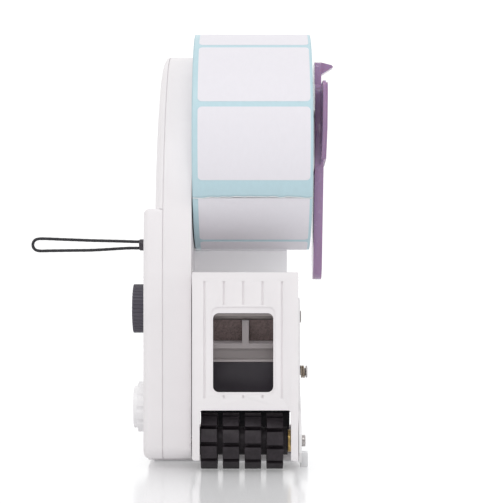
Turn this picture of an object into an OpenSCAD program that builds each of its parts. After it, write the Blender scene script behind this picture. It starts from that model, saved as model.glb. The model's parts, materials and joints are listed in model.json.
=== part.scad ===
// Hand-held label applicator: a side body with a pistol handle, a label roll on
// a cantilever spindle, a trigger-driven liner pull and a row of rubber press
// wheels under a hinged head cover.
// +Z is up, -Y is the nose, +X is the open side of the roll. Millimetres.

/* [Label stock] */
// Width of one label
label_w = 60.3; // [40:0.1:62]
// Length of one label along the web
label_l = 40; // [25:1:60]
// Gap between two labels
label_gap = 3; // [2:0.5:5]
// Width of the liner
liner_w = 64.8; // [63:0.2:80]
// Outer radius of the full roll
roll_r = 62; // [45:1:75]
// Inner radius of the cardboard core
core_r = 20; // [16:0.5:25]
// Wall of the cardboard core
core_t = 2; // [1:0.5:4]

/* [Body] */
// Face of the body beside the roll
body_right = -32; // [-34:0.5:-30]
// Depth of the main housing, from that face to the seam
housing_depth = 15.7; // [15:0.1:17]
// Depth of the side cover, from the seam to its outer face
cover_depth = 10.3; // [10:0.1:12]
// Depth of the upper shield beside the roll
shield_depth = 5.3; // [4:0.1:8]
// Wall of the shells
wall = 2.4; // [1.8:0.1:3]
// Thickness of the housing's web
web_t = 3; // [2.5:0.5:4]
// Underside of the body above the table
body_bottom = 5; // [4:0.5:8]
// Front edge of the body
body_front = -51; // [-54:0.5:-48]
// Rear edge of the gearbox part of the body
body_rear = 78; // [76:1:90]

/* [Handle and trigger] */
// Height of the underside of the handle
handle_z = 98; // [96:1:104]
// Thickness of the handle from underside to top
handle_h = 34; // [28:1:38]
// Rear end of the handle
handle_rear = 177; // [160:1:190]
// Length of the trigger from its pivot
trigger_len = 92; // [80:1:100]
// Angle of the trigger below level at rest
trigger_drop = 20; // [18:1:24]

/* [Head] */
// Width of the head cover
head_w = 56.4; // [52:0.2:70]
// Front face of the head cover
cover_front = -64; // [-66:0.5:-63]
// Lower edge of the head cover
cover_bottom = 7; // [6:0.5:9]
// Upper edge of the head cover
cover_top = 106.7; // [104:0.1:112]
// Wall of the head cover's front panel
panel_t = 2.5; // [2:0.1:3]
// Wall of the head cover's sides
cover_side_t = 2; // [1.6:0.1:2.4]
// Width of the inspection window
window_w = 32; // [24:1:36]
// Height of the inspection window
window_h = 42; // [30:1:44]
// Thickness of the steel side plate
plate_t = 1.5; // [1:0.1:2]

/* [Press wheels] */
// Radius of the press wheels
wheel_r = 15; // [12:0.1:15.4]
// Radius of the hub between the wheels
press_hub_r = 7.5; // [6:0.1:9]
// Width of one press wheel
press_wheel_w = 8.8; // [7:0.1:10]
// Number of lobes on a wheel
lobes = 10; // [8:1:12]
// Radius of the press wheel axle
press_axle_r = 2; // [1.6:0.1:2.5]

/* [Liner drive] */
// Radius of the rubber drive roller
drive_roller_r = 13; // [10:0.1:14]
// Radius of the drive shaft
shaft_r = 3; // [2.5:0.1:3.6]
// Radius of the pinch roller
pinch_r = 6; // [5:0.1:7]
// Tooth size of the gears
gear_module = 1; // [1:0.05:1.05]
// Teeth of the whole circle that the trigger sector is cut from
sector_teeth = 92; // [92]
// Teeth of the idler's pinion
pinion_teeth = 16; // [16]
// Teeth of the idler's large gear
idler_teeth = 52; // [52]
// Teeth of the drive gear
drive_teeth = 22; // [22]
// Radius of the fixed pins that the gears turn on
gear_pin_r = 2.5; // [2:0.1:3]
// Radius of the head cover's hinge pin
hinge_pin_r = 1.9; // [1.5:0.1:2.3]

/* [Spindle and retainer] */
// Outer radius of the spindle, below the core's bore
spindle_gap = 0.6; // [0.3:0.1:1]
// Wall of the spindle
spindle_t = 3.4; // [2.5:0.1:4]
// Thickness of the retainer plate
retainer_t = 5; // [4:0.1:7]
// Reach of the retainer's long arm below the spindle axis
retainer_reach = 79; // [70:1:85]

/* [Knobs and strap] */
// Radius of the two knobs
knob_r = 14; // [12:0.5:15]
// Width of the length knob
knob_w = 8.7; // [7:0.1:10]
// Radius of the strap's cord
cord_r = 0.85; // [0.6:0.05:1]

/* [Hidden] */

// Colours
SHELL = [0.91, 0.90, 0.90];
PURPLE = [0.40, 0.22, 0.46];
BLACK = [0.06, 0.06, 0.07];
STEEL = [0.72, 0.72, 0.74];
BRASS = [0.75, 0.60, 0.32];
GREY = [0.62, 0.63, 0.64];
LINER = [0.74, 0.85, 0.88];
LABEL = [0.94, 0.93, 0.95];
CARD = [0.66, 0.52, 0.36];

// Clearances
cut = 1;            // how far a cutter passes a face
run_gap = 0.05;     // radial clearance of a running fit
side_gap = 0.3;     // side clearance between moving neighbours
roll_gap = 0.7;     // body and guide to the roll
seam_w = 0.5;       // width and depth of the groove along the seam
seam_d = 0.7;

// Levels across the machine, from left to right
seam_x = body_right - housing_depth;
cover_x = seam_x - cover_depth;
web_x = body_right - web_t;
gear_1 = [cover_x + wall + 1.1, cover_x + wall + 5.1];
gear_2 = [gear_1[1] + 1, gear_1[1] + 5];
arm_x = [gear_2[1], gear_2[1] + 4.5];
head_x0 = body_right + 1;
head_x1 = head_x0 + head_w;
plate_x0 = head_x1 + side_gap;
plate_x1 = plate_x0 + plate_t;
liner_x0 = body_right + roll_gap;
liner_x1 = liner_x0 + liner_w;
label_x0 = liner_x0 + 3.1;
retainer_x0 = liner_x1 + 3.1;
retainer_x1 = retainer_x0 + retainer_t;

// Axes, each as [Y, Z]
roll_at = [0, cover_top + 11.6 + roll_r];
wheel_at = [-48, wheel_r + 0.4];
hinge_at = [-30, 81.7];
idler_at = [18, 58];
friction_at = [-28, 51];
sector_r = gear_module * sector_teeth / 2;
pinion_r = gear_module * pinion_teeth / 2;
idler_r = gear_module * idler_teeth / 2;
drive_r = gear_module * drive_teeth / 2;
mesh_2 = atan2(24.7, 48);
pivot_at = idler_at + (sector_r + pinion_r) * [cos(mesh_2), sin(mesh_2)];
// The idler stands on the drive gear's pitch circle, at this angle from it
mesh_1 = atan2(29, 23);
gear_at = idler_at - (idler_r + drive_r) * [cos(mesh_1), sin(mesh_1)];
cam_at = [0, 85];
pinch_angle = -20;
pinch_at = gear_at + (drive_roller_r + pinch_r + 0.2) * [cos(pinch_angle), sin(pinch_angle)];
pinch_pivot = [24, 42];
tie_at = [[-3, 76], [29, 12]];
strap_at = [-20, 121.5];
screw_at = [[-42, 17], [67, 18], [-42, 125], [88, 118], [155, 115]];
spindle_screw_r = 10;

// Side cover and shield meet on this level, and behind this line
step_z = 141;
dome_r = 60;
sweep_r = 150;
dome_z = roll_at[1] - 6.3;
sweep_at = [body_front + sweep_r, 110];
dome_y = sweep_at[0] - sqrt(pow(sweep_r - dome_r, 2) - pow(dome_z - sweep_at[1], 2));
dome_angle = atan2(dome_z - sweep_at[1], dome_y - sweep_at[0]);
back_y = dome_y + dome_r;

// ---- outlines ----

function arc(c, r, a0, a1, n = 10) =
  [for (i = [0:n]) let(a = a0 + (a1 - a0) * i / n) [c[0] + r * cos(a), c[1] + r * sin(a)]];

// Side outline of the body, moved in by d
function body_points(d) = let(
    corner = 8, heel = 10, crook = 6, end_r = handle_h / 2, neck = 30
  ) concat(
    arc([body_front + corner, body_bottom + corner], corner - d, 180, 270, 6),
    arc([body_rear - heel, body_bottom + heel], heel - d, 270, 360, 6),
    arc([body_rear + crook, handle_z - crook], crook + d, 180, 90, 5),
    arc([handle_rear - end_r, handle_z + end_r], end_r - d, -90, 90, 24),
    arc([back_y + neck, handle_z + handle_h + neck], neck + d, 270, 180, 14),
    arc([dome_y, dome_z], dome_r - d, 0, dome_angle, 36),
    arc(sweep_at, sweep_r - d, dome_angle, 180, 16));

function rounded(x0, y0, x1, y1, r, n = 6) = concat(
    arc([x0 + r, y0 + r], r, 180, 270, n), arc([x1 - r, y0 + r], r, 270, 360, n),
    arc([x1 - r, y1 - r], r, 0, 90, n), arc([x0 + r, y1 - r], r, 90, 180, n));

// Involute gear, with a tooth centred on the angle "phase"
press_angle = 20;
backlash = 0.3;
function involute(a) = tan(a) * 180 / PI - a;
function tooth_half(z, r) = let(
    rp = gear_module * z / 2, rb = rp * cos(press_angle),
    a = r > rb ? acos(rb / r) : 0, thick = gear_module * PI / 2 - backlash / 2
  ) thick / 2 / rp * 180 / PI + involute(press_angle) - involute(a);
function tooth(z, mid) = let(
    rp = gear_module * z / 2, rf = rp - 1.25 * gear_module, ra = rp + 0.95 * gear_module,
    r1 = max(rp * cos(press_angle), rf + 0.1), n = 3,
    side = [for (i = [0:n]) let(r = r1 + (ra - r1) * i / n) [r, tooth_half(z, r)]],
    up = concat([[rf, side[0][1]]], side)
  ) concat([for (p = up) p[0] * [cos(mid - p[1]), sin(mid - p[1])]],
    [for (i = [n + 1:-1:0]) let(p = up[i]) p[0] * [cos(mid + p[1]), sin(mid + p[1])]]);
function gear_points(z, phase, first, last) =
  [for (k = [first:last]) each tooth(z, phase + k * 360 / z)];

// Tube of radius r along a route, as one closed polyhedron
function unit(v) = v / norm(v);
function ring_points(route, i, r, ref, sides) = let(
    n = len(route), t = unit(route[min(i + 1, n - 1)] - route[max(i - 1, 0)]),
    s = unit(cross(t, ref)), u = cross(s, t)
  ) [for (k = [0:sides - 1]) let(a = 360 * k / sides) route[i] + r * (cos(a) * s + sin(a) * u)];
module tube(route, r, ref, sides = 8) {
  n = len(route);
  polyhedron(
    points = [for (i = [0:n - 1]) each ring_points(route, i, r, ref, sides)],
    faces = concat([[for (k = [0:sides - 1]) k]],
      [for (i = [0:n - 2]) for (k = [0:sides - 1]) let(m = (k + 1) % sides)
        [i * sides + k, (i + 1) * sides + k, (i + 1) * sides + m, i * sides + m]],
      [[for (k = [sides - 1:-1:0]) (n - 1) * sides + k]]));
}
// Coil round an axis along X
module coil(x0, x1, r, wire, turns, at, steps = 14) {
  n = turns * steps;
  tube([for (i = [0:n]) let(a = 360 * i / steps)
    [x0 + (x1 - x0) * i / n, at[0] + r * cos(a), at[1] + r * sin(a)]], wire, [1, 0, 0]);
}

// ---- building blocks ----

// Extrudes a (Y, Z) outline along X
module slab(x0, x1) {
  translate([x0, 0, 0]) rotate([90, 0, 90]) linear_extrude(x1 - x0) children();
}
// Extrudes an (X, Z) outline along Y
module panel(y0, y1) {
  translate([0, y1, 0]) rotate([90, 0, 0]) linear_extrude(y1 - y0) children();
}
module block(x, y, z) {
  translate([x[0], y[0], z[0]]) cube([x[1] - x[0], y[1] - y[0], z[1] - z[0]]);
}
module rod(x0, x1, r, at) {
  translate([x0, at[0], at[1]]) rotate([0, 90, 0]) cylinder(h = x1 - x0, r = r, $fn = 48);
}
module bore(x0, x1, r, at) rod(x0 - cut, x1 + cut, r, at);
module ring(x0, x1, ro, ri, at) {
  difference() {
    rod(x0, x1, ro, at);
    bore(x0, x1, ri, at);
  }
}

// ---- body shells ----

// Wall of the body, its outer face moved in by d
module body_wall(d) {
  difference() {
    polygon(body_points(d));
    polygon(body_points(wall));
  }
}
module main_housing() {
  boss_r = 5;
  color(SHELL) difference() {
    union() {
      slab(web_x, body_right) polygon(body_points(0));
      slab(seam_x, seam_x + seam_w) body_wall(seam_d);
      slab(seam_x + seam_w, web_x) body_wall(0);
      for (p = screw_at) rod(seam_x, web_x, 4, p);
      rod(arm_x[0] + side_gap, web_x, boss_r, idler_at);
      rod(arm_x[0] + 1.5, web_x, boss_r + 0.5, cam_at);
      rod(web_x - 6, web_x, 8, gear_at);
    }
    for (p = screw_at) rod(seam_x - cut, web_x, 1.3, p);
    bore(arm_x[0], body_right, gear_pin_r, idler_at);
    rod(arm_x[0], web_x, shaft_r + run_gap, cam_at);
    bore(web_x, body_right, gear_pin_r, pivot_at);
    rod(web_x - 6 - cut, web_x, shaft_r + 2, gear_at);
    bore(web_x, body_right, shaft_r + 1.5, gear_at);
    bore(web_x, body_right, press_axle_r, wheel_at);
    bore(web_x, body_right, hinge_pin_r, hinge_at);
    bore(web_x, body_right, 1.5, pinch_pivot);
    for (p = tie_at) bore(web_x, body_right, 2.5, p);
    for (a = [90, 210, 330]) bore(web_x, body_right, 1.5, spindle_screw_at(a));
    block([arm_x[0] - 0.8, arm_x[1] + 0.8], [body_rear - 8, body_rear + 6], [70, 91]);
  }
}

function spindle_screw_at(a) = roll_at + spindle_screw_r * [cos(a), sin(a)];

// The side cover's own part of the outline, moved in by d
module lower_outline(d) {
  intersection() {
    polygon(body_points(d));
    polygon([[-99, 0], [250, 0], [250, 300], [back_y, 300], [back_y, step_z], [-99, step_z]]);
  }
}

module side_cover() {
  edge = [[0, 2.4], [0.7, 1.1], [1.7, 0.4], [2.9, 0]];
  color(SHELL) difference() {
    union() {
      for (i = [0:3])
        slab(cover_x + edge[i][0], i < 3 ? cover_x + edge[i + 1][0] : seam_x)
          lower_outline(edge[i][1]);
    }
    slab(cover_x + wall, seam_x + cut) intersection() {
      polygon(body_points(wall));
      polygon([[-99, 0], [250, 0], [250, 300], [back_y + wall, 300],
        [back_y + wall, step_z - wall], [-99, step_z - wall]]);
    }
    bore(cover_x, seam_x, shaft_r + 1.5, gear_at);
    bore(cover_x, seam_x, shaft_r + run_gap, cam_at);
    for (p = screw_at) {
      bore(cover_x, seam_x, 1.6, p);
      rod(cover_x - cut, cover_x + 1.8, 3.1, p);
    }
    rod(cover_x - cut, cover_x + wall + cut, 2.5, strap_at);
  }
}

module shield_slice(x, d) {
  slab(x, x + 0.3) intersection() {
    polygon(concat(arc([dome_y, dome_z], dome_r - d, 0, dome_angle, 30),
      arc(sweep_at, sweep_r - d, dome_angle, 180, 14), [[body_front + d, step_z - 20],
      [back_y - d, step_z - 20]]));
    polygon([[-99, step_z], [back_y, step_z], [back_y, 300], [-99, 300]]);
  }
}

module reel_shield() {
  color(SHELL) difference() {
    hull() {
      shield_slice(seam_x - 0.3, 0);
      shield_slice(seam_x - 1.2, 0.5);
      shield_slice(seam_x - 0.6 * shield_depth, 5);
      shield_slice(seam_x - 0.85 * shield_depth, 13);
      shield_slice(seam_x - shield_depth, 26);
    }
    hull() {
      translate([0, 0, wall]) shield_slice(seam_x, wall + 2);
      translate([0, 0, wall]) shield_slice(seam_x - shield_depth + wall, 28);
    }
  }
}

module cover_screws() {
  color(STEEL) for (p = screw_at) difference() {
    union() {
      rod(cover_x + 0.3, cover_x + 1.8, 2.9, p);
      rod(cover_x + 1.8, seam_x + 6, 1.3, p);
    }
    translate([cover_x, p[0], p[1]]) rotate([0, 90, 0]) cylinder(h = 1.6, r = 1.3, $fn = 6);
  }
}

// ---- base ----

module base_plate() {
  color(SHELL) difference() {
    block([cover_x + 1, plate_x1], [-24, 72], [1.5, body_bottom]);
    for (x = [cover_x + 5, 18], y = [-16, 64])
      translate([x, y, 1.5 - cut]) cylinder(h = 2 * cut, r = 1.5, $fn = 24);
  }
}

module base_pad() {
  color(GREY) block([cover_x + 4, plate_x1 - 3], [-21, 69], [0, 1.5]);
}

module front_foot() {
  color(GREY) difference() {
    block([plate_x1, plate_x1 + 4.2], [-40, -32], [0, 7.5]);
    rod(plate_x1 + 3.2, plate_x1 + 4.2 + cut, 1.4, [-36, 4]);
  }
}

// ---- head frame ----

module side_plate() {
  color(SHELL) difference() {
    slab(plate_x0, plate_x1) polygon(concat([[-58, body_bottom], [36, body_bottom], [36, 56],
      [-2, 92]], arc([-33, 89], 3, 90, 180, 4), [[-36, 46], [-64, 21], [-64, 11]]));
    bore(plate_x0, plate_x1, hinge_pin_r, hinge_at);
    bore(plate_x0, plate_x1, press_axle_r, wheel_at);
    bore(plate_x0, plate_x1, shaft_r + 1.5, gear_at);
    bore(plate_x0, plate_x1, 1.5, pinch_pivot);
    bore(plate_x0, plate_x1, 2, friction_at);
    for (p = tie_at) bore(plate_x0, plate_x1, 2.2, p);
  }
}

// Guide that the web runs over on its way down to the peel edge
guide_y = -12;
guide_front = -40;
guide_top = roll_at[1] - sqrt(pow(roll_r, 2) - pow(guide_y, 2)) - roll_gap;
module web_guide() {
  upper_x = [body_right, head_x1 - 4.7];
  color(GREY * 1.25) difference() {
    union() {
      block([body_right, plate_x0], [guide_y, guide_y + 3], [57.5, 90]);
      block(upper_x, [guide_y, guide_y + 3], [90, guide_top - 1.5]);
      rod(upper_x[0], upper_x[1], 1.5, [guide_y + 1.5, guide_top - 1.5]);
      rod(body_right, plate_x0, 6.5, tie_at[0]);
    }
    bore(body_right, plate_x0, 2.5, tie_at[0]);
  }
}

// T-shaped frame behind the window, standing on the guide
bar_z = [64.6, 67.5];
ledge_z = [57.5, 58.8];
stem_x = [-4.6, -0.9];
stem_top = 79.5;
module cross_frame() {
  inner = [head_x0 + 2.5, head_x1 - 4.4];
  skirt_y = guide_front + 5;
  color(GREY * 1.25) {
    block(inner, [guide_front, guide_y], bar_z);
    block(inner, [guide_front - 2, guide_y], ledge_z);
    block(inner, [skirt_y, guide_y], [ledge_z[1], bar_z[0]]);
    block(stem_x, [guide_front, guide_y], [bar_z[1], stem_top]);
  }
}

// Two felt pads on the guide, one each side of the frame's stem
module guide_pads() {
  pad_t = 4;
  spans = [[head_x0 + 3, stem_x[0] - 0.2], [stem_x[1] + 0.2, head_x1 - 5]];
  color(CARD * 0.6) for (x = spans)
    block(x, [guide_y - pad_t, guide_y], [bar_z[1], hinge_at[1] - hinge_pin_r - 0.4]);
}

module brake_block() {
  color(BLACK) block([head_x0 + 3, head_x1 - 7.4], [guide_front - 2, -22], [41, 57.5]);
}

module peel_plate() {
  color(STEEL) slab(head_x0 + 2.5, head_x1 - 3.5) polygon([[-40, 41], [-20, 41], [-20, 39.8],
    [-38.9, 39.8], [-34.7, 32], [-35.7, 31.5]]);
}

module tie_rods() {
  color(STEEL) for (p = tie_at) difference() {
    union() {
      rod(body_right, plate_x0, 2.5, p);
      rod(web_x, body_right, 2.5, p);
    }
    rod(plate_x0 - 6, plate_x0 + cut, 1.3, p);
  }
}

module tie_rod_screws() {
  color(STEEL) for (p = tie_at) {
    rod(plate_x0 - 6, plate_x0, 1.3, p);
    rod(plate_x0, plate_x1 - 0.1, 2.2, p);
  }
}

// ---- head cover and its hinge ----

opening = [head_x0 + 4, head_x1 - 3.9];
opening_top = 33.6;
window_x = [head_x0 + 11.1, head_x0 + 11.1 + window_w];
window_z = [85.1 - window_h, 85.1];

module head_cover() {
  sides = [[head_x0, head_x0 + cover_side_t], [head_x1 - cover_side_t, head_x1]];
  color(SHELL) difference() {
    union() {
      panel(cover_front, cover_front + panel_t) polygon(rounded(head_x0, cover_bottom,
        head_x1, cover_top, 1.2, 4));
      block([head_x0, head_x1], [cover_front + panel_t, cover_front + 10],
        [cover_top - 2, cover_top]);
      for (s = sides) slab(s[0], s[1]) polygon(concat([[cover_front + 1, cover_bottom + 1],
        [cover_front + 12, cover_bottom + 1], [cover_front + 12, 35], [-26, 47]],
        arc([-29, 87], 3, 0, 60, 4), [[cover_front + 12, cover_top - 1],
        [cover_front + 1, cover_top - 1]]));
    }
    panel(cover_front - cut, cover_front + panel_t + cut)
      polygon(rounded(window_x[0], window_z[0], window_x[1], window_z[1], 3));
    panel(cover_front - cut, cover_front + 0.8)
      polygon(rounded(window_x[0] - 1.2, window_z[0] - 1.2, window_x[1] + 1.2,
        window_z[1] + 3.4, 4));
    panel(cover_front - cut, cover_front + panel_t + cut)
      polygon(concat([[opening[0], cover_bottom - cut], [opening[1], cover_bottom - cut]],
        arc([opening[1] - 1.5, opening_top - 1.5], 1.5, 0, 90, 4),
        arc([opening[0] + 1.5, opening_top - 1.5], 1.5, 90, 180, 4)));
    cover_grooves();
    bore(head_x0, head_x1, hinge_pin_r + run_gap, hinge_at);
  }
}

// Five grooves: the middle three are broken by the window
module cover_grooves() {
  groove = 1.1;
  pitch = (window_w + 9) / 4;
  for (i = [0:4]) {
    x = (window_x[0] + window_x[1]) / 2 + (i - 2) * pitch;
    spans = (i == 0 || i == 4) ? [[40, cover_top - 4.7]]
      : [[window_z[1] + 4.5, cover_top - 4.7], [40, window_z[0] - 1.4]];
    for (s = spans) block([x - groove / 2, x + groove / 2],
      [cover_front - cut, cover_front + 0.9], s);
  }
}

module hinge_pin() {
  color(STEEL) rod(web_x, plate_x1 + 0.6, hinge_pin_r, hinge_at);
}

module hinge_clip() {
  color(BLACK) difference() {
    ring(plate_x1 + 0.05, plate_x1 + 0.75, 3.3, hinge_pin_r, hinge_at);
    block([plate_x1 - cut, plate_x1 + 2], [hinge_at[0], hinge_at[0] + 5],
      [hinge_at[1] - 1.2, hinge_at[1] + 1.2]);
  }
}

module friction_screw() {
  color(STEEL) {
    rod(plate_x0, plate_x1 + 3.4, 2, friction_at);
    rod(plate_x1 + 3.4, plate_x1 + 4.4, 3.4, friction_at);
  }
}

module friction_spring() {
  color(BRASS) coil(plate_x1 + 0.55, plate_x1 + 2.85, 3.1, 0.5, 2, friction_at);
}

// ---- press wheels ----

module press_axle() {
  color(STEEL) rod(web_x, plate_x1, press_axle_r, wheel_at);
}

module press_axle_screw() {
  color(STEEL) difference() {
    rod(plate_x1, plate_x1 + 2.5, 3.1, wheel_at);
    translate([plate_x1 + 1, wheel_at[0], wheel_at[1]]) rotate([0, 90, 0])
      cylinder(h = 2, r = 1.5, $fn = 6);
  }
}

wheel_pitch = (opening[1] - opening[0] - 1.5) / 4;
wheel_phase = -2;
module press_hub() {
  color(BLACK) ring(opening[0] - 1, opening[1] - 1.5, press_hub_r, press_axle_r + run_gap,
    wheel_at);
}

module press_wheel(i) {
  x0 = opening[0] + 0.4 + (i - 1) * wheel_pitch;
  phase = (i == 4 ? 8 : i * 1.5) + wheel_phase;
  slot_w = 2.2;
  slot_d = 3.6;
  color(BLACK) slab(x0, x0 + press_wheel_w) translate(wheel_at) difference() {
    circle(r = wheel_r, $fn = 60);
    circle(r = press_hub_r, $fn = 48);
    for (k = [0:lobes - 1]) rotate(phase + k * 360 / lobes) {
      translate([wheel_r - slot_d, 0]) circle(d = slot_w, $fn = 20);
      translate([wheel_r - slot_d, -slot_w / 2]) square([slot_d + cut, slot_w]);
    }
  }
}

module press_bush() {
  color(BRASS) ring(opening[1] - 1.5, opening[1] + 0.5, 6, press_axle_r + run_gap, wheel_at);
}

// ---- liner drive ----

module drive_shaft() {
  color(STEEL) rod(cover_x - 6, plate_x1, shaft_r, gear_at);
}

module drive_roller() {
  color(BLACK) ring(head_x0 + 3, head_x1 - 3.4, drive_roller_r, shaft_r, gear_at);
}

module feed_knob() {
  taper = 2.2;
  color(SHELL) difference() {
    union() {
      slab(cover_x - knob_w + 0.4 + taper, cover_x - 0.5) translate(gear_at) difference() {
        circle(r = knob_r + 0.3, $fn = 60);
        for (k = [0:11]) rotate(k * 30) translate([knob_r + 1.2, 0]) circle(r = 2, $fn = 20);
      }
      rod(cover_x - knob_w + 0.4, cover_x - knob_w + 0.4 + taper, knob_r - 2, gear_at);
    }
    rod(cover_x - 6, cover_x, shaft_r, gear_at);
  }
}

module shaft_bushes() {
  color(BRASS) for (x = [[cover_x, cover_x + wall], [web_x, body_right], [plate_x0, plate_x1]])
    ring(x[0], x[1], shaft_r + 1.5, shaft_r + run_gap, gear_at);
}

module drive_gear() {
  color(GREY) difference() {
    union() {
      slab(gear_1[0], gear_1[1]) translate(gear_at)
        polygon(gear_points(drive_teeth, mesh_1, 0, drive_teeth - 1));
      rod(gear_1[1], gear_1[1] + 2, shaft_r + 4.5, gear_at);
    }
    bore(gear_1[0], gear_1[1] + 2, shaft_r + 2, gear_at);
  }
}

module drive_clutch() {
  color(STEEL) ring(gear_1[0], gear_1[1] + 2, shaft_r + 2, shaft_r + run_gap, gear_at);
}

module anti_reverse_clutch() {
  color(STEEL) ring(web_x - 6, web_x, shaft_r + 2, shaft_r + run_gap, gear_at);
}

module idler_gear() {
  color(LABEL) difference() {
    union() {
      slab(gear_1[0], gear_1[1]) translate(idler_at) polygon(gear_points(idler_teeth,
        mesh_1 + 180 + 180 / idler_teeth, 0, idler_teeth - 1));
      slab(gear_1[1], gear_2[1]) translate(idler_at) polygon(gear_points(pinion_teeth,
        mesh_2 + 180 / pinion_teeth, 0, pinion_teeth - 1));
    }
    bore(gear_1[0], gear_2[1], gear_pin_r + run_gap, idler_at);
  }
}

module idler_pin() {
  color(STEEL) rod(cover_x + wall, body_right, gear_pin_r, idler_at);
}

module gear_sector() {
  teeth = gear_points(sector_teeth, mesh_2 + 180, -7, 2);
  color(STEEL) difference() {
    slab(gear_2[0], gear_2[1]) translate(pivot_at) union() {
      polygon(concat([[0, 0]], teeth));
      circle(r = 7, $fn = 48);
    }
    bore(gear_2[0], gear_2[1], gear_pin_r + run_gap, pivot_at);
  }
}

module trigger_lever() {
  grip_x = [arm_x[0] - 5, arm_x[1] + 5.5];
  grip_end = trigger_len - 6;
  color(SHELL) difference() {
    union() {
      rod(arm_x[0], web_x - 2.2, 7, pivot_at);
      slab(arm_x[0], arm_x[1]) translate(pivot_at) rotate(-trigger_drop)
        translate([0, -6]) square([30, 12]);
      slab(grip_x[0], grip_x[1]) translate(pivot_at) rotate(-trigger_drop) difference() {
        union() {
          polygon(concat(arc([26, 1], 4, 180, 90, 4), arc([grip_end, 0], 5, 90, -90, 8),
            [[grip_end - 6, -9]], arc([28, -3], 6, 270, 180, 4)));
        }
        for (i = [0:2]) translate([38 + i * 18, -19]) circle(r = 11.5, $fn = 48);
      }
    }
    bore(arm_x[0], web_x, gear_pin_r + run_gap, pivot_at);
  }
}

module trigger_pin() {
  color(STEEL) rod(cover_x + wall, body_right, gear_pin_r, pivot_at);
}

module trigger_spring() {
  color(STEEL) coil(arm_x[1] + 1, web_x - 1, 8.2, 0.6, 3, pivot_at);
}

// ---- pinch roller ----

module pinch_arm() {
  arms = [[head_x0 + 3, head_x0 + 4.5], [head_x1 - 4.9, head_x1 - 3.4]];
  reach = pinch_at - pinch_pivot;
  color(STEEL) difference() {
    union() {
      rod(arms[0][0], arms[1][1], 3.5, pinch_pivot);
      for (a = arms) slab(a[0], a[1]) {
        translate(pinch_at) circle(r = 3.5, $fn = 40);
        translate(pinch_pivot) rotate(atan2(reach[1], reach[0])) translate([0, -3.5])
          square([norm(reach), 7]);
      }
    }
    bore(arms[0][0], arms[1][1], 1.5 + run_gap, pinch_pivot);
    bore(arms[0][0], arms[1][1], 1.5, pinch_at);
  }
}

module pinch_pin() {
  color(STEEL) rod(web_x, plate_x1, 1.5, pinch_pivot);
}

module pinch_roller() {
  color(GREY) ring(head_x0 + 5, head_x1 - 5.4, pinch_r, 1.5 + run_gap, pinch_at);
}

module pinch_axle() {
  color(STEEL) rod(head_x0 + 3, head_x1 - 3.4, 1.5, pinch_at);
}

module pinch_spring() {
  color(STEEL) coil(head_x0 + 0.2, head_x0 + 2, 4.4, 0.45, 2, pinch_pivot);
}

// ---- label length setting ----

module length_knob() {
  ridges = 40;
  notch_r = 0.75;
  color(BLACK) difference() {
    slab(cover_x - 0.5 - knob_w, cover_x - 0.5) translate(cam_at) difference() {
      circle(r = knob_r, $fn = 72);
      for (k = [0:ridges - 1]) rotate(k * 360 / ridges) translate([knob_r + 0.15, 0])
        circle(r = notch_r, $fn = 16);
    }
    rod(cover_x - 6.5, cover_x, shaft_r, cam_at);
    block([cover_x - 10, cover_x - knob_w + 0.7], [-1, 1], [cam_at[1] + 4, cam_at[1] + 11]);
  }
}

module length_cam() {
  snail = [for (i = [0:35]) let(a = i * 10) (17.5 - 9 * i / 35) * [cos(a), sin(a)]];
  color(GREY) {
    rod(cover_x - 6.5, gear_2[0], shaft_r, cam_at);
    slab(gear_2[0], gear_2[1]) translate(cam_at) polygon(snail);
    rod(gear_2[1], web_x - 1, shaft_r, cam_at);
  }
}

// ---- spindle, roll and retainer ----

spindle_r = core_r - spindle_gap;
module spindle() {
  foot_t = 7;
  color(SHELL) difference() {
    rod(body_right, retainer_x0 - 0.4, spindle_r, roll_at);
    rod(body_right + foot_t, retainer_x0 + cut, spindle_r - spindle_t, roll_at);
    for (a = [90, 210, 330]) bore(body_right, body_right + foot_t, 1.5, spindle_screw_at(a));
  }
}

module spindle_screws() {
  color(STEEL) for (a = [90, 210, 330]) {
    rod(web_x - 2, web_x, 3, spindle_screw_at(a));
    rod(web_x, body_right + 6, 1.5, spindle_screw_at(a));
  }
}

label_t = 0.2;
module roll_core() {
  color(CARD) ring(liner_x0, liner_x1, core_r + core_t, core_r, roll_at);
}

module liner_roll() {
  color(LINER) ring(liner_x0, liner_x1, roll_r - label_t, core_r + core_t, roll_at);
}

// Angles run up from the nose; the last label is cut by the end of the web
label_first = -23.2;
web_end = -33;
module roll_labels() {
  span = label_l / roll_r * 180 / PI;
  pitch = (label_l + label_gap) / roll_r * 180 / PI;
  count = floor((360 + web_end - label_first) / pitch);
  color(LABEL) for (k = [0:count]) {
    a0 = label_first + k * pitch;
    a1 = min(a0 + span, 360 + web_end);
    if (a1 > a0 + 4) label_patch(a0, a1);
  }
}
module label_patch(a0, a1) {
  translate([label_x0, roll_at[0], roll_at[1]]) rotate([90, 0, 90]) rotate(180 - a1)
    rotate_extrude(angle = a1 - a0, $fn = 90) translate([roll_r - label_t + 0.01, 0])
      square([label_t - 0.01, label_w]);
}

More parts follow.
